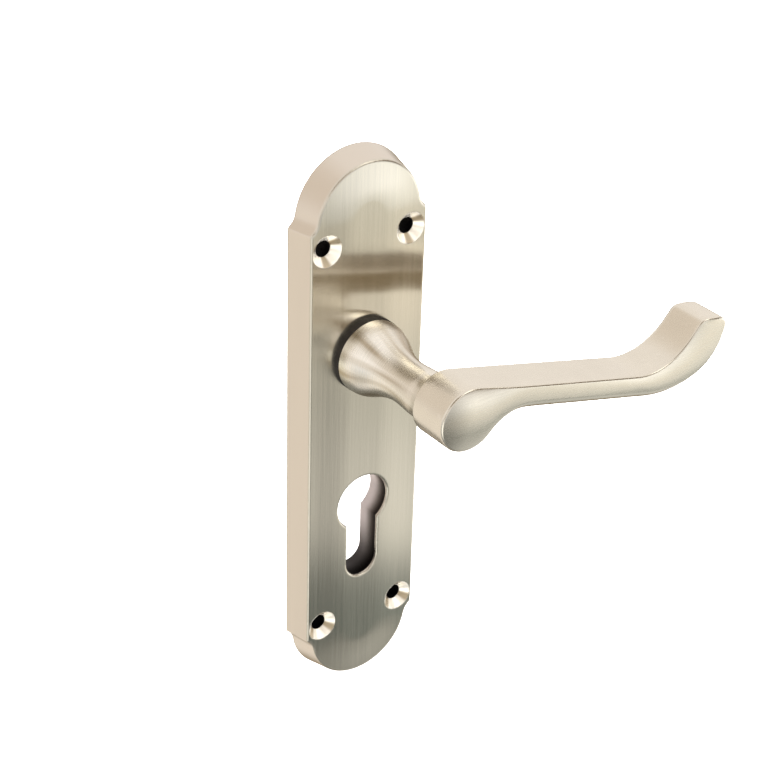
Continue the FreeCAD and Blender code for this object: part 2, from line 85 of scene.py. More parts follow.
class HANDLE_PG_plate(bpy.types.PropertyGroup):
    nickel: tint("Plate nickel", "Colour of the brushed nickel", (0.72, 0.68, 0.59))
    zinc: tint("Cast zinc", "Colour of the unplated casting inside", (0.34, 0.34, 0.33))
    roughness: share("Roughness", "Blur of the brushed face", 0.18)
    grain_width: size("Grain width", "Typical width of one brush line", 0.15)
    grain_length: size("Grain length", "Typical length of one brush line", 26.0)
    wall: size("Wall", "Thickness of the casting", 2.0)
    draft: size("Draft", "Lean of the side wall over the plate's depth", 2.0)
    shoulder_drop: size("Shoulder drop", "Shoulder corners below the plate's end", 19.4)
    shoulder_step: size("Shoulder step", "How much narrower the arch is on each side", 2.1)
    hole_edge: size("Hole to side", "Fixing hole centre from the plate's side", 7.15)
    hole_spacing: size("Hole spacing", "Fixing hole centres along the plate", 123.4)
    hole_offset: size("Hole offset", "Middle of the fixing holes from the plate's middle", -0.7)
    hole_radius: size("Hole radius", "Radius of a fixing hole", 2.25)
    countersink: size("Countersink radius", "Radius of a countersink", 4.6)
    euro_centre: size("Cut-out centre", "Height of the cut-out's round", -49.5)
    euro_radius: size("Cut-out radius", "Radius of the cut-out's round", 8.75)
    euro_drop: size("Cut-out drop", "From the round's centre to the slot's end", 25.6)
    euro_slot: size("Cut-out slot", "Width of the cut-out's slot", 10.7)
    soft_edge: size("Soft edge", "Rounding of the plate's edges by the buffing wheel", 0.7)


class HANDLE_PG_lever(bpy.types.PropertyGroup):
    nickel: tint("Lever nickel", "Colour of the satin nickel", (0.79, 0.745, 0.655))
    roughness: share("Roughness", "Blur of the satin arm", 0.26)
    neck_roughness: share("Neck roughness", "Blur of the turned neck", 0.27)
    thickness: size("Arm thickness", "Height of the arm's straight run", 7.2)
    run: size("Straight run", "Length of the arm's straight top", 59.0)
    head: size("Head radius", "Radius of the rounded head", 9.4)
    head_rise: size("Head rise", "Head's centre above the turning axis", 1.16)
    throat: size("Throat radius", "Hollow under the head", 12.0)
    curl: size("Curl radius", "Upward curl of the top line", 20.0)
    curl_rise: size("Curl rise", "Straight stretch above the curl", 3.5)
    tip_back: size("Tip back radius", "Rounding where the curl meets the tip", 3.6)
    tip_top: size("Tip top", "Length of the tip's top", 4.0)
    tip_front: size("Tip front radius", "Rounding of the tip's nose", 4.0)
    tip_drop: size("Tip drop", "Straight stretch below the nose", 2.0)
    belly: size("Belly radius", "Rounding under the curl", 15.0)
    crown: size("Crown radius", "Radius of the front face's cross curve", 40.0)
    crisp_edge: size("Crisp edge", "Rounding along the top front edge", 0.6)
    head_edge: size("Head edge", "Rounding round the head", 1.0)
    soft_edge: size("Soft edge", "Rounding along the lower front edge", 2.7)
    back_edge: size("Back edge", "Rounding of the back edges", 0.6)
    tip_back_edge: size("Tip back edge", "Rounding of the back edges at the tip", 3.0)


class HANDLE_PG_spring(bpy.types.PropertyGroup):
    wire: size("Wire", "Diameter of the spring wire", 1.0)
    coil: size("Coil radius", "Radius of the wire's centre line", 12.03)
    leg: size("Leg radius", "Reach of the legs from the axis", 15.23)
    turns: FloatProperty(name="Turns", description="Turns of the coil", default=1.75)
    pitch: size("Pitch", "Rise of the coil in one turn", 1.114)
    fixed_leg: FloatProperty(name="Fixed leg", description="Where the fixed leg stands, in degrees",
                             default=330.0)


class HANDLE_PG_stage(bpy.types.PropertyGroup):
    floor_drop: size("Floor drop", "Height of the plate's lower end above the floor", 20.0)
    floor_size: size("Floor size", "Side of the square floor", 6000.0)


# ---- node helpers -------------------------------------------------------------------------------

class Nodes:
    """Adds shader nodes to one material or world and links them."""

    def __init__(self, owner):
        owner.use_nodes = True
        self.tree = owner.node_tree
        self.tree.nodes.clear()

    def put(self, socket, value):
        if isinstance(value, bpy.types.NodeSocket):
            self.tree.links.new(value, socket)
        elif socket.type == "RGBA" and len(value) == 3:
            socket.default_value = (*value, 1.0)
        else:
            socket.default_value = value

    def add(self, kind, inputs=None, **settings):
        node = self.tree.nodes.new("ShaderNode" + kind)
        for name, value in settings.items():
            setattr(node, name, value)
        for name, value in (inputs or {}).items():
            self.put(node.inputs[name], value)
        return node

    def math(self, operation, a, b=0.0):
        return self.add("Math", {0: a, 1: b}, operation=operation).outputs[0]

    def vector(self, operation, a, b=(0.0, 0.0, 0.0)):
        return self.add("VectorMath", {0: a, 1: b}, operation=operation).outputs[0]

    def length(self, x, y):
        """Distance from the origin of the point x, y."""
        return self.math("SQRT", self.math("ADD", self.math("MULTIPLY", x, x), self.math("MULTIPLY", y, y)))

    def span(self, value, low, high, to_low=0.0, to_high=1.0):
        """Value mapped smoothly from low..high to to_low..to_high, held at both ends."""
        inputs = {"Value": value, "From Min": low, "From Max": high, "To Min": to_low, "To Max": to_high}
        return self.add("MapRange", inputs, interpolation_type="SMOOTHSTEP").outputs["Result"]

    def mix(self, amount, a, b):
        return self.add("Mix", {0: amount, 6: a, 7: b}, data_type="RGBA").outputs[2]

    def blend(self, amount, a, b):
        return self.add("Mix", {0: amount, 2: a, 3: b}, data_type="FLOAT").outputs[0]

    def scaled(self, colour, amount):
        node = self.add("VectorMath", {0: colour}, operation="SCALE")
        self.put(node.inputs["Scale"], amount)
        return node.outputs[0]

    def noise(self, vector, detail=2.0, rough=0.5):
        inputs = {"Vector": vector, "Scale": 1.0, "Detail": detail, "Roughness": rough}
        return self.add("TexNoise", inputs).outputs["Fac"]

    def place(self, width=1.0, depth=1.0, height=1.0):
        """Object coordinates, divided by a feature's size along X, Y and Z."""
        coords = self.add("TexCoord").outputs["Object"]
        inputs = {"Vector": coords, "Scale": (1 / width, 1 / depth, 1 / height)}
        return self.add("Mapping", inputs).outputs["Vector"]

    def axes(self):
        parts = self.add("SeparateXYZ", {"Vector": self.add("TexCoord").outputs["Object"]})
        return parts.outputs["X"], parts.outputs["Y"], parts.outputs["Z"]

    def rounded(self, radius):
        """The normal that edges rounded to a radius would have."""
        return self.add("Bevel", {"Radius": radius}, samples=6).outputs["Normal"]

    def bump(self, height, distance, strength=1.0, normal=None):
        inputs = {"Height": height, "Distance": distance, "Strength": strength}
        if normal is not None:
            inputs["Normal"] = normal
        return self.add("Bump", inputs).outputs["Normal"]

    def shader(self, colour, roughness, normal=None, metallic=1.0, anisotropy=0.0, across=None):
        """A principled surface. Across is the direction that reflections spread along."""
        inputs = {"Base Color": colour, "Roughness": roughness}
        inputs.update({"Metallic": metallic, "Anisotropic": anisotropy})
        if normal is not None:
            inputs["Normal"] = normal
        if across is not None:
            inputs["Tangent"] = self.add("CombineXYZ", dict(zip("XYZ", across))).outputs[0]
        surface = self.add("BsdfPrincipled", inputs)
        self.add("OutputMaterial", {"Surface": surface.outputs["BSDF"]})


def new_material(name):
    material = bpy.data.materials.new(name)
    return material, Nodes(material)


def finish_node(node, material):
    """Gives a frame node one material."""
    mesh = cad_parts[node].data
    mesh.materials.clear()
    mesh.materials.append(material)


# ---- materials ----------------------------------------------------------------------------------

def brushed_backplate(plate):
    """Nickel brushed up and down, countersinks painted with light and dark reflections, bores painted
    near-black as shade, a cut-out wall with painted shade and a rough cast back.
    """
    material, nodes = new_material("brushed_nickel_plate")
    x, y, z = nodes.axes()
    centre_z = (PLATE_LOW.z + PLATE_HIGH.z) / 2
    front = PLATE_LOW.y
    half_height = (PLATE_HIGH.z - PLATE_LOW.z) / 2
    half_width = PLATE_HIGH.x
    arch_radius = half_width - plate.shoulder_step
    side = nodes.math("ABSOLUTE", x)
    from_middle = nodes.math("ABSOLUTE", nodes.math("SUBTRACT", z, centre_z))

    # brush lines
    fine = nodes.noise(nodes.place(plate.grain_width, plate.grain_width, plate.grain_length), 6.0, 0.7)
    broad = nodes.noise(nodes.place(7 * plate.grain_width, 1.0, 3 * plate.grain_length), 3.0, 0.6)
    lines = nodes.blend(0.35, fine, broad)
    tone = nodes.span(lines, 0.3, 0.7, 0.90, 1.05)

    # brighter edge of the arch: the shading leans outwards there, and the shape stays flat
    above_arch = nodes.math("MAXIMUM", nodes.math("SUBTRACT", from_middle, half_height - arch_radius), 0.0)
    from_arch = nodes.length(x, above_arch)
    rim = arch_radius - plate.draft
    crown = nodes.span(from_arch, rim - 12 * MM, rim + 3 * MM, 0.0, -0.75 * MM)
    normal = nodes.bump(crown, 1.0, 1.0, nodes.rounded(plate.soft_edge))
    normal = nodes.bump(lines, 0.010 * MM, 0.45, normal)

    # screw holes and countersinks
    hole_x = nodes.math("SUBTRACT", side, half_width - plate.hole_edge)
    from_holes = nodes.math("ABSOLUTE", nodes.math("SUBTRACT", z, centre_z + plate.hole_offset))
    hole_z = nodes.math("SUBTRACT", from_holes, plate.hole_spacing / 2)
    from_hole = nodes.length(hole_x, hole_z)
    bore = nodes.span(from_hole, plate.hole_radius + 0.05 * MM, plate.hole_radius + 0.25 * MM, 1.0, 0.0)
    cone_end = front + plate.countersink - plate.hole_radius
    in_cone = nodes.span(y, cone_end, cone_end + 0.2 * MM, 1.0, 0.0)
    turned = nodes.span(from_hole, plate.countersink, plate.countersink + 0.2 * MM, 1.0, 0.0)
    turned = nodes.math("MULTIPLY", turned, in_cone)

    # cut-out wall with painted shade and light: dark at the front edge and towards the foot, pale lavender
    # towards the back
    behind = nodes.span(y, front + 0.5 * MM, front + 1.0 * MM)
    half_slot = plate.euro_slot / 2
    slot_low = plate.euro_centre - plate.euro_drop + half_slot
    to_round = nodes.length(x, nodes.math("SUBTRACT", z, plate.euro_centre))
    below_slot = nodes.math("MAXIMUM", nodes.math("SUBTRACT", slot_low, z), 0.0)
    in_round = nodes.math("LESS_THAN", to_round, plate.euro_radius + 0.1 * MM)
    in_slot = nodes.math("LESS_THAN", nodes.length(x, below_slot), half_slot + 0.1 * MM)
    in_slot = nodes.math("MULTIPLY", in_slot, nodes.math("LESS_THAN", z, plate.euro_centre))
    cut_wall = nodes.math("MULTIPLY", behind, nodes.math("MAXIMUM", in_round, in_slot))
    wall_shade = nodes.span(y, front + 0.8 * MM, front + 6.5 * MM, 0.08, 1.0)
    foot_z = plate.euro_centre - plate.euro_drop
    foot_shade = nodes.span(z, foot_z, plate.euro_centre - plate.euro_radius, 0.10, 1.0)

    # inside of the casting
    lean = nodes.math("MULTIPLY", y, plate.draft / (PLATE_HIGH.y - PLATE_LOW.y))
    straight = nodes.math("LESS_THAN", from_middle, half_height - plate.shoulder_drop)
    edge = nodes.blend(straight, arch_radius - plate.wall / 2, half_width - plate.wall / 2)
    within = nodes.math("LESS_THAN", from_arch, nodes.math("ADD", edge, lean))
    deep = nodes.math("GREATER_THAN", y, front + plate.wall / 2)
    inside = nodes.math("MULTIPLY", nodes.math("MULTIPLY", within, deep), nodes.math("SUBTRACT", 1.0, turned))
    grit = nodes.noise(nodes.place(0.5 * MM, 0.5 * MM, 0.5 * MM), 5.0, 0.65)
    flow = nodes.noise(nodes.place(9 * MM, 9 * MM, 9 * MM), 3.0)
    cast = nodes.scaled(plate.zinc[:], nodes.span(nodes.blend(0.5, grit, flow), 0.3, 0.7, 0.75, 1.2))

    # side walls, buffed smooth
    wall = nodes.span(y, front + 0.1 * MM, front + 0.9 * MM)
    colour = nodes.scaled(plate.nickel[:], tone)
    colour = nodes.mix(wall, colour, (0.74, 0.68, 0.60))
    # painted reflection in the countersinks: a light colour with dark sectors three times round each hole
    around_hole = nodes.math("ARCTAN2", hole_z, nodes.math("MULTIPLY", hole_x, nodes.math("SIGN", x)))
    reflection_sectors = nodes.math("SINE", nodes.math("MULTIPLY", around_hole, 3.0))
    painted_countersink_reflection = nodes.mix(nodes.span(reflection_sectors, 0.3, 0.95), (0.88, 0.84, 0.75), (0.36, 0.30, 0.21))
    colour = nodes.mix(turned, colour, painted_countersink_reflection)
    colour = nodes.mix(inside, colour, cast)
    # painted shade and light on the cut-out wall, from dark to pale lavender
    cut_wall_painted_shade = nodes.mix(wall_shade, (0.30, 0.23, 0.18), (0.92, 0.86, 0.88))
    cut_wall_painted_shade = nodes.scaled(cut_wall_painted_shade, nodes.math("MULTIPLY", wall_shade, foot_shade))
    colour = nodes.mix(cut_wall, colour, cut_wall_painted_shade)
    # painted shade: the screw bores coloured near-black
    colour = nodes.mix(bore, colour, (0.006, 0.006, 0.006))
    rough = nodes.span(lines, 0.3, 0.7, plate.roughness - 0.03, plate.roughness + 0.03)
    rough = nodes.blend(turned, rough, 0.20)
    rough = nodes.blend(inside, rough, 0.6)
    rough = nodes.blend(bore, rough, 0.7)
    normal = nodes.bump(nodes.math("MULTIPLY", grit, inside), 0.12 * MM, 0.8, normal)
    # less metallic in the countersinks, so that their painted light colour shows
    metal = nodes.span(turned, 0.0, 1.0, 1.0, 0.65)
    nodes.shader(colour, rough, normal, metal, anisotropy=1.0, across=(1.0, 0.0, 0.0))
    return material


def turned_neck(lever):
    """Nickel turned round the axis. Light and dark streaks along it stand in for reflections."""
    material, nodes = new_material("turned_nickel_neck")
    x, y, z = nodes.axes()
    outward = nodes.vector("NORMALIZE", nodes.add("CombineXYZ", {"X": x, "Z": z}).outputs[0])
    along = nodes.add("CombineXYZ", {"Y": nodes.math("DIVIDE", y, 30 * MM)}).outputs[0]
    # painted reflection streaks: a noise that changes round the axis and slowly along it, strongest near the
    # plate
    painted_streaks = nodes.noise(nodes.vector("ADD", nodes.scaled(outward, 2.1), along), 1.0, 0.5)
    rings = nodes.noise(nodes.place(20 * MM, 0.12 * MM, 20 * MM), 4.0, 0.6)
    strength = nodes.span(y, -36 * MM, -16 * MM, 0.45, 1.0)
    dark = nodes.math("MULTIPLY", nodes.span(painted_streaks, 0.50, 0.36), strength)
    bright = nodes.math("MULTIPLY", nodes.span(painted_streaks, 0.50, 0.62), strength)
    colour = nodes.mix(dark, lever.nickel[:], (0.46, 0.38, 0.27))
    colour = nodes.mix(bright, colour, (0.98, 0.95, 0.88))
    rough = nodes.span(rings, 0.3, 0.7, lever.neck_roughness - 0.03, lever.neck_roughness + 0.03)
    normal = nodes.bump(rings, 0.003 * MM, 0.4)
    nodes.shader(colour, rough, normal, anisotropy=0.85, across=(0.0, 1.0, 0.0))
    return material


def satin_arm(lever):
    """Cast nickel rubbed along the arm, cloudy in the mass and finely scratched."""
    material, nodes = new_material("satin_nickel_arm")
    scratches = nodes.noise(nodes.place(9 * MM, 0.25 * MM, 0.25 * MM), 5.0, 0.65)
    cloud = nodes.noise(nodes.place(11 * MM, 11 * MM, 11 * MM), 2.0)
    tone = nodes.span(nodes.blend(0.4, scratches, cloud), 0.3, 0.7, 0.95, 1.03)
    worn = nodes.noise(nodes.place(2 * MM, 2 * MM, 2 * MM), 4.0)
    rub = nodes.span(worn, 0.58, 0.85, 0.0, 0.6)
    colour = nodes.mix(rub, nodes.scaled(lever.nickel[:], tone), (0.90, 0.86, 0.78))
    rough = nodes.span(scratches, 0.3, 0.7, lever.roughness - 0.04, lever.roughness + 0.04)
    nodes.shader(colour, rough, nodes.bump(scratches, 0.006 * MM, 0.6))
    return material


def pressed_steel(name, colour, roughness, grain):
    """Zinc plated sheet: rolling lines one way and passivation clouds over them."""
    material, nodes = new_material(name)
    rolled = nodes.noise(nodes.place(grain, grain, 30 * grain), 4.0, 0.6)
    cloud = nodes.noise(nodes.place(5 * MM, 5 * MM, 5 * MM), 4.0, 0.6)
    yellowed = tuple(part * shift for part, shift in zip(colour, (1.06, 1.0, 0.86)))
    warm = nodes.mix(nodes.span(cloud, 0.35, 0.65), colour, yellowed)
    tone = nodes.span(rolled, 0.3, 0.7, 0.88, 1.05)
    rough = nodes.span(cloud, 0.3, 0.7, roughness - 0.06, roughness + 0.08)
    nodes.shader(nodes.scaled(warm, tone), rough, nodes.bump(rolled, 0.01 * MM, 0.6))
    return material


def spring_steel():
    """Oiled spring steel with drawing marks and darker blooms."""
    material, nodes = new_material("oiled_spring_steel")
    bloom = nodes.noise(nodes.place(2.5 * MM, 2.5 * MM, 2.5 * MM), 4.0)
    drawn = nodes.noise(nodes.place(0.2 * MM, 0.2 * MM, 0.2 * MM), 3.0)
    colour = nodes.mix(nodes.span(bloom, 0.35, 0.65), (0.20, 0.19, 0.19), (0.40, 0.39, 0.37))
    rough = nodes.span(drawn, 0.3, 0.7, 0.24, 0.36)
    nodes.shader(colour, rough, nodes.bump(drawn, 0.01 * MM, 0.5))
    return material


def moulded_nylon():
    """Black nylon with a fine spark-eroded texture."""
    material, nodes = new_material("moulded_black_nylon")
    texture = nodes.noise(nodes.place(0.15 * MM, 0.15 * MM, 0.15 * MM), 3.0, 0.6)
    dust = nodes.noise(nodes.place(3 * MM, 3 * MM, 3 * MM), 3.0)
    colour = nodes.mix(nodes.span(dust, 0.4, 0.7), (0.004, 0.003, 0.002), (0.010, 0.008, 0.006))
    rough = nodes.span(texture, 0.3, 0.7, 0.50, 0.66)
    nodes.shader(colour, rough, nodes.bump(texture, 0.015 * MM, 0.5), metallic=0.0)
    return material


# ---- surfaces -----------------------------------------------------------------------------------

def surface_mesh(name, grid, wrap_rows=True, wrap_columns=False):
    """A mesh over a grid of points (rows, columns, 3); each cell is one face."""
    rows, columns = grid.shape[:2]
    row = np.arange(rows if wrap_rows else rows - 1)
    column = np.arange(columns if wrap_columns else columns - 1)
    r, c = np.meshgrid(row, column, indexing="ij")
    r_next = (r + 1) % rows
    c_next = (c + 1) % columns
    corners = [r * columns + c, r_next * columns + c, r_next * columns + c_next, r * columns + c_next]
    faces = np.stack(corners, axis=-1).reshape(-1, 4)
    mesh = bpy.data.meshes.new(name)
    mesh.from_pydata(grid.reshape(-1, 3).tolist(), [], faces.tolist())
    return mesh


def close_mesh(mesh):
    """Merges the seams and poles of a closed surface and turns its faces outwards."""
    work = bmesh.new()
    work.from_mesh(mesh)
    bmesh.ops.remove_doubles(work, verts=work.verts, dist=0.002 * MM)
    bmesh.ops.dissolve_degenerate(work, edges=work.edges, dist=0.002 * MM)
    bmesh.ops.recalc_face_normals(work, faces=work.faces)
    if work.calc_volume(signed=True) < 0:
        bmesh.ops.reverse_faces(work, faces=work.faces)
    work.to_mesh(mesh)
    work.free()
    mesh.shade_smooth()


def add_piece(context, name, mesh, material, body, slot, *nodes):
    mesh.materials.clear()
    mesh.materials.append(material)
    piece = bpy.data.objects.new(name, mesh)
    context.collection.objects.link(piece)
    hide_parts(*nodes)
    if body:
        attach(piece, body)
    return piece


class Outline:
    """Tangent lines and arcs walked clockwise; keeps points, headings and distances as arrays."""
    STEP = 0.25 * MM

    def __init__(self, u, v, heading):
        self.u = [np.array([u])]
        self.v = [np.array([v])]
        self.heading = [np.array([heading])]
        self.walked = [np.array([0.0])]

    def go(self, length, turn_deg=0.0):
        """Walks a length while turning evenly; a point is the sum of the headings before it."""
        count = max(int(length / self.STEP), 8)
        step = np.arange(1, count + 1) / count
        turn = math.radians(turn_deg)
        start = self.heading[-1][-1]
        if turn:
            radius = length / turn
            du = radius * (np.sin(start + turn * step) - math.sin(start))
            dv = -radius * (np.cos(start + turn * step) - math.cos(start))
        else:
            du = length * step * math.cos(start)
            dv = length * step * math.sin(start)
        self.u.append(self.u[-1][-1] + du)
        self.v.append(self.v[-1][-1] + dv)
        self.heading.append(start + turn * step)
        self.walked.append(self.walked[-1][-1] + length * step)
        return self.walked[-1][-1]

    def bend(self, radius, turn_deg):
        return self.go(radius * abs(math.radians(turn_deg)), turn_deg)

    def at(self, distances):
        walked = np.concatenate(self.walked)
        parts = [np.concatenate(part) for part in (self.u, self.v, self.heading)]
        found = [np.interp(distances, walked, part) for part in parts]
        return np.stack(found[:2], axis=-1), found[2]


CURL_TURN = 65.0
TIP_SLOPE = 5.0
BELLY_TURN = 55.0
DROOP = math.radians(13.75)


def arm_outline(arm):
    """The arm from the front, and the matching places along its upper and lower lines.

    It starts over the head and goes round by the curl, the tip, the belly, the underside and the throat.
    """
    under = arm.head - arm.thickness
    throat_u = math.sqrt((arm.head + arm.throat) ** 2 - (under - arm.throat) ** 2)
    throat_turn = math.degrees(math.atan2(throat_u, arm.throat - under))
    line = Outline(0.0, arm.head, 0.0)
    run_end = line.go(arm.run)
    line.bend(arm.curl, CURL_TURN)
    curl_end = line.go(arm.curl_rise)
    tip_start = line.bend(arm.tip_back, TIP_SLOPE - CURL_TURN)
    line.go(arm.tip_top)
    tip_pole = tip_start + arm.tip_top / 2
    line.bend(arm.tip_front, -90 - TIP_SLOPE)
    drop_end = line.go(arm.tip_drop)
    line.bend(arm.belly, -BELLY_TURN)
    sole_turn = 90 - BELLY_TURN
    sole = (line.v[-1][-1] - under) / (1 - math.cos(math.radians(sole_turn)))
    sole_end = line.bend(sole, -sole_turn)
    under_end = line.go(line.u[-1][-1] - throat_u)
    throat_end = line.bend(arm.throat, throat_turn)
    around = line.bend(arm.head, -(180 + throat_turn))
    quarter = arm.head * math.pi / 2
    upper = [around - quarter, around]
    upper += [around + place for place in (throat_u, run_end, curl_end, tip_pole)]
    lower = (around - quarter, around - 2 * quarter, under_end, sole_end, drop_end, tip_pole)
    rims = ((0.0, arm.crisp_edge), (run_end, arm.crisp_edge), (curl_end, arm.crisp_edge),
            (tip_pole, arm.back_edge), (drop_end, arm.head_edge), (sole_end, arm.soft_edge),
            (under_end, arm.soft_edge), (throat_end, arm.head_edge), (around - quarter, arm.head_edge),
            (around, arm.crisp_edge))
    back_rims = ((0.0, arm.back_edge), (run_end, arm.back_edge), (curl_end, arm.tip_back_edge),
                 (tip_pole, arm.tip_back_edge), (drop_end, arm.tip_back_edge), (sole_end, arm.back_edge),
                 (around, arm.back_edge))
    return line, upper, lower, rims, back_rims, around


def arm_grid(arm):
    """The arm's closed surface over two parameters: along the outline, and over the section.

    The section goes from the back face's spine out to the back edge, round it, along the side, round the
    front edge and in over the front face to the spine. The front face falls away from its spine, and from the
    middle of the head, as distance squared over twice the crown radius.
    """
    line, upper, lower, rims, back_rims, around = arm_outline(arm)
    counts = (14, 16, 44, 26, 18)

    def stations(keys):
        parts = [np.linspace(a, b, n, endpoint=False) for a, b, n in zip(keys, keys[1:], counts)]
        return np.concatenate(parts + [[keys[-1]]])

    top = stations(upper)
    bottom = stations(lower)
    ring = np.concatenate([top, bottom[-2:0:-1]]) % around
    point, heading = line.at(ring)
    inward = np.stack([np.sin(heading), -np.cos(heading)], axis=-1)
    count = len(ring)
    partner = (-np.arange(count)) % count

    def rounding(keys):
        radius = np.interp(ring, *zip(*keys))
        return np.convolve(np.concatenate([radius[-4:], radius, radius[:4]]), np.ones(9) / 9, mode="valid")

    edge = rounding(rims)
    back_edge = rounding(back_rims)

    def spine_of(rim_points):
        return (rim_points + rim_points[partner]) / 2

    def over_head(spine_points):
        return np.minimum(spine_points[:, 0], 0.0)

    first = point + inward * edge[:, None]
    reach = np.linalg.norm(first - spine_of(first), axis=1)
    last_angle = np.pi / 2 - np.arctan(np.hypot(reach, over_head(spine_of(first))) / arm.crown)
    rim = point + inward * (edge * (1 - np.cos(last_angle)))[:, None]
    spine = spine_of(rim)
    reach = np.linalg.norm(rim - spine, axis=1)
    past_head = over_head(spine)
    rim_y = ARM_LOW.y + (reach ** 2 + past_head ** 2) / (2 * arm.crown)

    columns = []

    def add(flat, depth):
        columns.append(np.concatenate([flat, np.broadcast_to(depth, (count,))[:, None]], axis=1))

    back_rim = point + inward * back_edge[:, None]
    back_spine = spine_of(back_rim)
    for step in np.linspace(1, 0, 7)[:-1]:
        add(back_rim + (back_spine - back_rim) * step, ARM_HIGH.y)
    for angle in np.linspace(np.pi / 2, 0, 8):
        inset = back_edge * (1 - math.cos(angle))
        add(point + inward * inset[:, None], ARM_HIGH.y - back_edge * (1 - math.sin(angle)))
    side_start = ARM_HIGH.y - back_edge
    side_end = rim_y + edge * np.sin(last_angle)
    for step in np.linspace(0, 1, 6)[1:-1]:
        add(point, side_start + (side_end - side_start) * step)
    for step in np.linspace(0, 1, 12):
        angle = last_angle * step
        inset = edge * (1 - np.cos(angle))
        add(point + inward * inset[:, None], rim_y + edge * (np.sin(last_angle) - np.sin(angle)))
    for step in np.linspace(0, 1, 13)[1:]:
        away = reach * (1 - step)
        add(rim + (spine - rim) * step, ARM_LOW.y + (away ** 2 + past_head ** 2) / (2 * arm.crown))

    flat = np.stack(columns, axis=1)
    u = flat[..., 0]
    v = flat[..., 1]
    x = u * math.cos(DROOP) + v * math.sin(DROOP)
    z = arm.head_rise - u * math.sin(DROOP) + v * math.cos(DROOP)
    return np.stack([x, flat[..., 2], z], axis=-1)


def tube_grid(path, radius, around=14):
    """A round tube along a path: each ring is the path's point plus the radius times a turning normal."""
    tangent = np.gradient(path, axis=0)
    tangent /= np.linalg.norm(tangent, axis=1)[:, None]
    depth = np.array([0.0, 1.0, 0.0])
    across = np.cross(tangent, depth)
    short = np.linalg.norm(across, axis=1)[:, None]
    across = np.where(short > 0.2, across / np.maximum(short, 0.2), np.cross(tangent, [1.0, 0.0, 0.0]))
    across /= np.linalg.norm(across, axis=1)[:, None]
    other = np.cross(tangent, across)
    turn = np.linspace(0, 2 * np.pi, around, endpoint=False)
    rings = path[:, None] + radius * (np.cos(turn)[None, :, None] * across[:, None]
                                      + np.sin(turn)[None, :, None] * other[:, None])
    first = np.repeat(path[:1, None], around, axis=1)
    last = np.repeat(path[-1:, None], around, axis=1)
    return np.concatenate([first, rings, last])


def spring_path(spring):
    """The wire's centre line: radius and height as functions of the turn.

    The coil's radius is constant and its height rises evenly with the turn. A straight leg runs out from each
    end, a hook follows the axis from the moving leg, and a moving average rounds the knees.
    """
    radius = spring.wire / 2
    low_y = SPRING_LOW.y + radius
    high_y = low_y + spring.turns * spring.pitch
    fixed = math.radians(spring.fixed_leg)
    turn = np.linspace(0, 2 * np.pi * spring.turns, 260)
    angle = fixed - turn
    coil = np.stack([spring.coil * np.cos(angle), low_y + (high_y - low_y) * turn / turn[-1],
                     spring.coil * np.sin(angle)], axis=-1)

    def leg(facing, depth):
        reach = np.linspace(spring.coil, spring.leg, 14)
        across = reach * math.cos(facing)
        return np.stack([across, np.full(14, depth), reach * math.sin(facing)], axis=-1)

    start = leg(angle[0], low_y)[::-1]
    end = leg(angle[-1], high_y)
    hook = np.repeat(end[-1:], 8, axis=0)
    hook[:, 1] = np.linspace(high_y, SPRING_HIGH.y, 9)[1:]
    path = np.concatenate([start, coil[1:-1], end, hook])
    window = np.ones(5) / 5
    soft = np.stack([np.convolve(path[:, k], window, mode="valid") for k in range(3)], axis=-1)
    return np.concatenate([path[:1], soft, path[-1:]])


# ---- operators ----------------------------------------------------------------------------------

class HANDLE_OT_backplate(bpy.types.Operator):
    """Finishes the backplate: brushed face, buffed walls, painted reflections in the countersinks, painted
    shade in the bores and the cut-out, and cast inside
    """
    bl_idname = "handle.backplate"
    bl_label = "Backplate"

    def execute(self, context):
        finish_node("backplate", brushed_backplate(context.scene.handle_plate))
        return {"FINISHED"}


class HANDLE_OT_neck(bpy.types.Operator):
    """Finishes the turned neck and its nylon bush"""
    bl_idname = "handle.neck"
    bl_label = "Neck and bush"

    def execute(self, context):
        finish_node("lever_neck", turned_neck(context.scene.handle_lever))
        finish_node("plate_bush", moulded_nylon())
        return {"FINISHED"}


class HANDLE_OT_arm(bpy.types.Operator):
    """Makes the cast arm with its crowned face and its soft and crisp edges"""
    bl_idname = "handle.arm"
    bl_label = "Arm casting"

    def execute(self, context):
        arm = context.scene.handle_lever
        mesh = surface_mesh("arm_casting", arm_grid(arm))
        close_mesh(mesh)
        add_piece(context, "arm_casting", mesh, satin_arm(arm), "lever", "satin_lever", "lever_arm")
        return {"FINISHED"}


class HANDLE_OT_spring(bpy.types.Operator):
    """Winds the return spring, which twists between the plate and the lever"""
    bl_idname = "handle.spring"
    bl_label = "Return spring"

    def execute(self, context):
        spring = context.scene.handle_spring
        path = spring_path(spring)
        name = "torsion_spring"
        mesh = surface_mesh(name, tube_grid(path, spring.wire / 2), wrap_rows=False, wrap_columns=True)
        close_mesh(mesh)
        piece = add_piece(context, name, mesh, spring_steel(), None, "spring_steel", "return_spring")
        # The twist ends inside the moving leg's wire, so that leg shears a little when the lever is down.
        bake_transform(piece)
        return {"FINISHED"}


class HANDLE_OT_works(bpy.types.Operator):
    """Finishes the drive plate, the cover and what holds them"""
    bl_idname = "handle.works"
    bl_label = "Works"

    def execute(self, context):
        sheet = pressed_steel("zinc_plated_sheet", (0.60, 0.60, 0.57), 0.36, 0.3 * MM)
        for node in ("drive_plate", "cover_plate"):
            finish_node(node, sheet)
        finish_node("cover_screws", pressed_steel("zinc_plated_screws", (0.70, 0.69, 0.63), 0.26, 0.1 * MM))
        finish_node("retaining_washer", pressed_steel("bright_washer", (0.66, 0.66, 0.66), 0.30, 0.15 * MM))
        dark = spring_steel()
        for node in ("joint_pin", "retaining_circlip"):
            finish_node(node, dark)
        return {"FINISHED"}


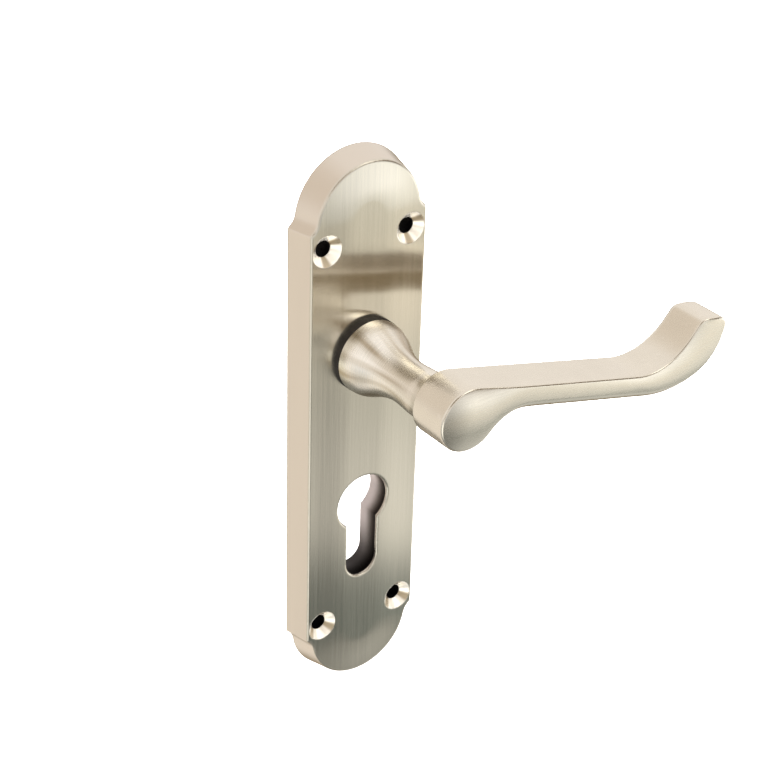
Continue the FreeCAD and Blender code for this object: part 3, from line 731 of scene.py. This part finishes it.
class HANDLE_OT_studio(bpy.types.Operator):
    """Makes the pale floor, the soft lights and the camera"""
    bl_idname = "handle.studio"
    bl_label = "Studio"

    def execute(self, context):
        stage = context.scene.handle_stage
        place_floor(context, stage)
        context.scene.world = studio_world()
        place_light(context, "key_softbox", (-0.5, -0.7, 0.9), (0.0, -0.03, 0.0), 0.5, 16.0)
        place_light(context, "floor_wash", (0.2, 0.2, 1.6), (0.2, 0.3, -0.2), 1.6, 60.0)
        place_camera(context)
        context.scene.view_settings.view_transform = "Standard"
        return {"FINISHED"}


# ---- studio -------------------------------------------------------------------------------------

def place_floor(context, stage):
    half = stage.floor_size / 2
    z = PLATE_LOW.z - stage.floor_drop
    corners = [(-half, -half, z), (half, -half, z), (half, half, z), (-half, half, z)]
    mesh = bpy.data.meshes.new("floor")
    mesh.from_pydata(corners, [], [(0, 1, 2, 3)])
    floor = bpy.data.objects.new("floor", mesh)
    context.collection.objects.link(floor)
    material, nodes = new_material("floor_paper")
    surface = nodes.add("BsdfDiffuse", {"Color": (0.95, 0.95, 0.95)})
    nodes.add("OutputMaterial", {"Surface": surface.outputs[0]})
    mesh.materials.append(material)
    floor.visible_glossy = False


# Brightness of the room in front and below, from straight down up to the horizon, by sine of elevation.
FRONT_TONES = (
    (-0.75, (0.72, 0.72, 0.68)),
    (-0.660, (0.52, 0.52, 0.48)),
    (-0.620, (0.36, 0.37, 0.34)),
    (-0.595, (0.25, 0.28, 0.26)),
    (-0.580, (0.27, 0.29, 0.27)),
    (-0.560, (1.02, 1.00, 0.93)),
    (-0.530, (0.90, 0.88, 0.82)),
    (-0.500, (0.72, 0.71, 0.64)),
    (-0.455, (1.00, 0.92, 0.79)),
    (-0.425, (0.88, 0.84, 0.72)),
    (-0.390, (1.10, 1.09, 1.02)),
    (-0.300, (1.45, 1.45, 1.42)),
    (-0.220, (1.80, 1.80, 1.80)),
)

# Cards and boxes round the room: facing direction, how far they spread, and their tone.
CARDS = (
    ((0.69, -0.69, 0.20), (0.86, 0.95), (0.15, 0.10, 0.05)),
    ((-0.28, -0.69, 0.66), (0.86, 0.97), (0.30, 0.24, 0.17)),
    ((0.46, -0.69, 0.56), (0.955, 0.985), (2.60, 2.50, 2.30)),
    ((-0.72, -0.69, -0.05), (0.95, 0.99), (0.62, 0.55, 0.46)),
    ((-0.60, -0.60, -0.52), (0.90, 0.98), (1.60, 1.58, 1.50)),
    ((-0.55, 0.69, 0.44), (0.70, 0.97), (0.84, 0.75, 0.66)),
)


def studio_world():
    """A white room: dim low in front, warm and dark low behind, with dark cards and soft boxes."""
    world = bpy.data.worlds.new("studio")
    sky = Nodes(world)
    direction = sky.add("TexCoord").outputs["Generated"]
    axes = sky.add("SeparateXYZ", {"Vector": direction})
    right = axes.outputs["X"]
    back = axes.outputs["Y"]
    up = axes.outputs["Z"]
    front_low = FRONT_TONES[0][1]
    for (low, _), (high, tone) in zip(FRONT_TONES, FRONT_TONES[1:]):
        front_low = sky.mix(sky.span(up, low, high), front_low, tone)
    front_low = sky.scaled(front_low, sky.span(right, 0.22, 0.72, 0.38, 1.24))
    behind = sky.mix(sky.span(right, -0.3, 0.35), (0.98, 0.90, 0.80), (0.27, 0.20, 0.11))
    low = sky.mix(sky.span(back, -0.15, 0.25), front_low, behind)
    tone = sky.mix(sky.span(up, -0.22, 0.08), low, (1.02, 0.965, 0.92))
    for facing, (outer, inner), card in CARDS:
        aim = sky.add("VectorMath", {0: direction, 1: Vector(facing).normalized()}, operation="DOT_PRODUCT")
        tone = sky.mix(sky.span(aim.outputs["Value"], outer, inner), tone, card)
    seen = sky.add("Background", {"Color": tone, "Strength": 1.0})
    plain = sky.add("Background", {"Color": (1.0, 1.0, 1.0), "Strength": 1.0})
    ray = sky.add("LightPath")
    choose = sky.add("MixShader", {0: ray.outputs["Is Camera Ray"], 1: seen.outputs[0], 2: plain.outputs[0]})
    sky.add("OutputWorld", {"Surface": choose.outputs[0]})
    return world


def place_light(context, name, position, target, side, power):
    lamp = bpy.data.lights.new(name, "AREA")
    lamp.shape = "SQUARE"
    lamp.size = side
    lamp.energy = power
    holder = bpy.data.objects.new(name, lamp)
    holder.location = position
    aim = Vector(target) - Vector(position)
    holder.rotation_euler = aim.to_track_quat("-Z", "Y").to_euler()
    holder.visible_glossy = False
    context.collection.objects.link(holder)


CAMERA_AZIMUTH = math.radians(-36.854)
CAMERA_ELEVATION = math.radians(29.849)
CAMERA_ROLL = math.radians(1.724)
CAMERA_AIM = Vector((3.214, -10.583, -11.401)) * MM
CAMERA_DISTANCE = 552.1 * MM


def place_camera(context):
    level = math.cos(CAMERA_ELEVATION)
    flat_back = Vector((math.sin(CAMERA_AZIMUTH), -math.cos(CAMERA_AZIMUTH), 0.0))
    back = flat_back * level + Vector((0.0, 0.0, math.sin(CAMERA_ELEVATION)))
    right = Vector((0, 0, 1)).cross(back).normalized()
    up = back.cross(right)
    tilted_right = math.cos(CAMERA_ROLL) * right + math.sin(CAMERA_ROLL) * up
    tilted_up = math.cos(CAMERA_ROLL) * up - math.sin(CAMERA_ROLL) * right
    camera = bpy.data.cameras.new("camera")
    camera.lens = 91.78
    camera.sensor_width = 36.0
    camera.shift_x = 0.006
    camera.shift_y = 0.006
    camera.clip_start = 0.01
    turn = Matrix((tilted_right, tilted_up, back)).transposed().to_4x4()
    holder = bpy.data.objects.new("camera", camera)
    holder.matrix_world = Matrix.Translation(CAMERA_AIM + back * CAMERA_DISTANCE) @ turn
    context.collection.objects.link(holder)
    context.scene.camera = holder


# ---- add-on -------------------------------------------------------------------------------------

class HANDLE_PT_panel(bpy.types.Panel):
    bl_idname = "HANDLE_PT_panel"
    bl_label = "Lever handle"
    bl_space_type = "VIEW_3D"
    bl_region_type = "UI"
    bl_category = "Handle"

    def draw(self, context):
        for setting, group in GROUPS.items():
            box = self.layout.box()
            box.label(text=setting.replace("handle_", "").capitalize())
            for name in group.__annotations__:
                box.prop(getattr(context.scene, setting), name)
        for operator in OPERATORS:
            self.layout.operator(operator.bl_idname)


GROUPS = {"handle_plate": HANDLE_PG_plate, "handle_lever": HANDLE_PG_lever,
          "handle_spring": HANDLE_PG_spring, "handle_stage": HANDLE_PG_stage}
OPERATORS = (HANDLE_OT_backplate, HANDLE_OT_neck, HANDLE_OT_arm, HANDLE_OT_spring, HANDLE_OT_works,
             HANDLE_OT_studio)


def register():
    for group in GROUPS.values():
        bpy.utils.register_class(group)
    for operator in OPERATORS:
        bpy.utils.register_class(operator)
    bpy.utils.register_class(HANDLE_PT_panel)
    for name, group in GROUPS.items():
        setattr(bpy.types.Scene, name, PointerProperty(type=group))


def unregister():
    for name in GROUPS:
        delattr(bpy.types.Scene, name)
    bpy.utils.unregister_class(HANDLE_PT_panel)
    for operator in reversed(OPERATORS):
        bpy.utils.unregister_class(operator)
    for group in reversed(list(GROUPS.values())):
        bpy.utils.unregister_class(group)


def main():
    register()
    bpy.ops.handle.backplate()
    bpy.ops.handle.neck()
    bpy.ops.handle.arm()
    bpy.ops.handle.spring()
    bpy.ops.handle.works()
    bpy.ops.handle.studio()
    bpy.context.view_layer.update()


if __name__ == "__main__":
    main()
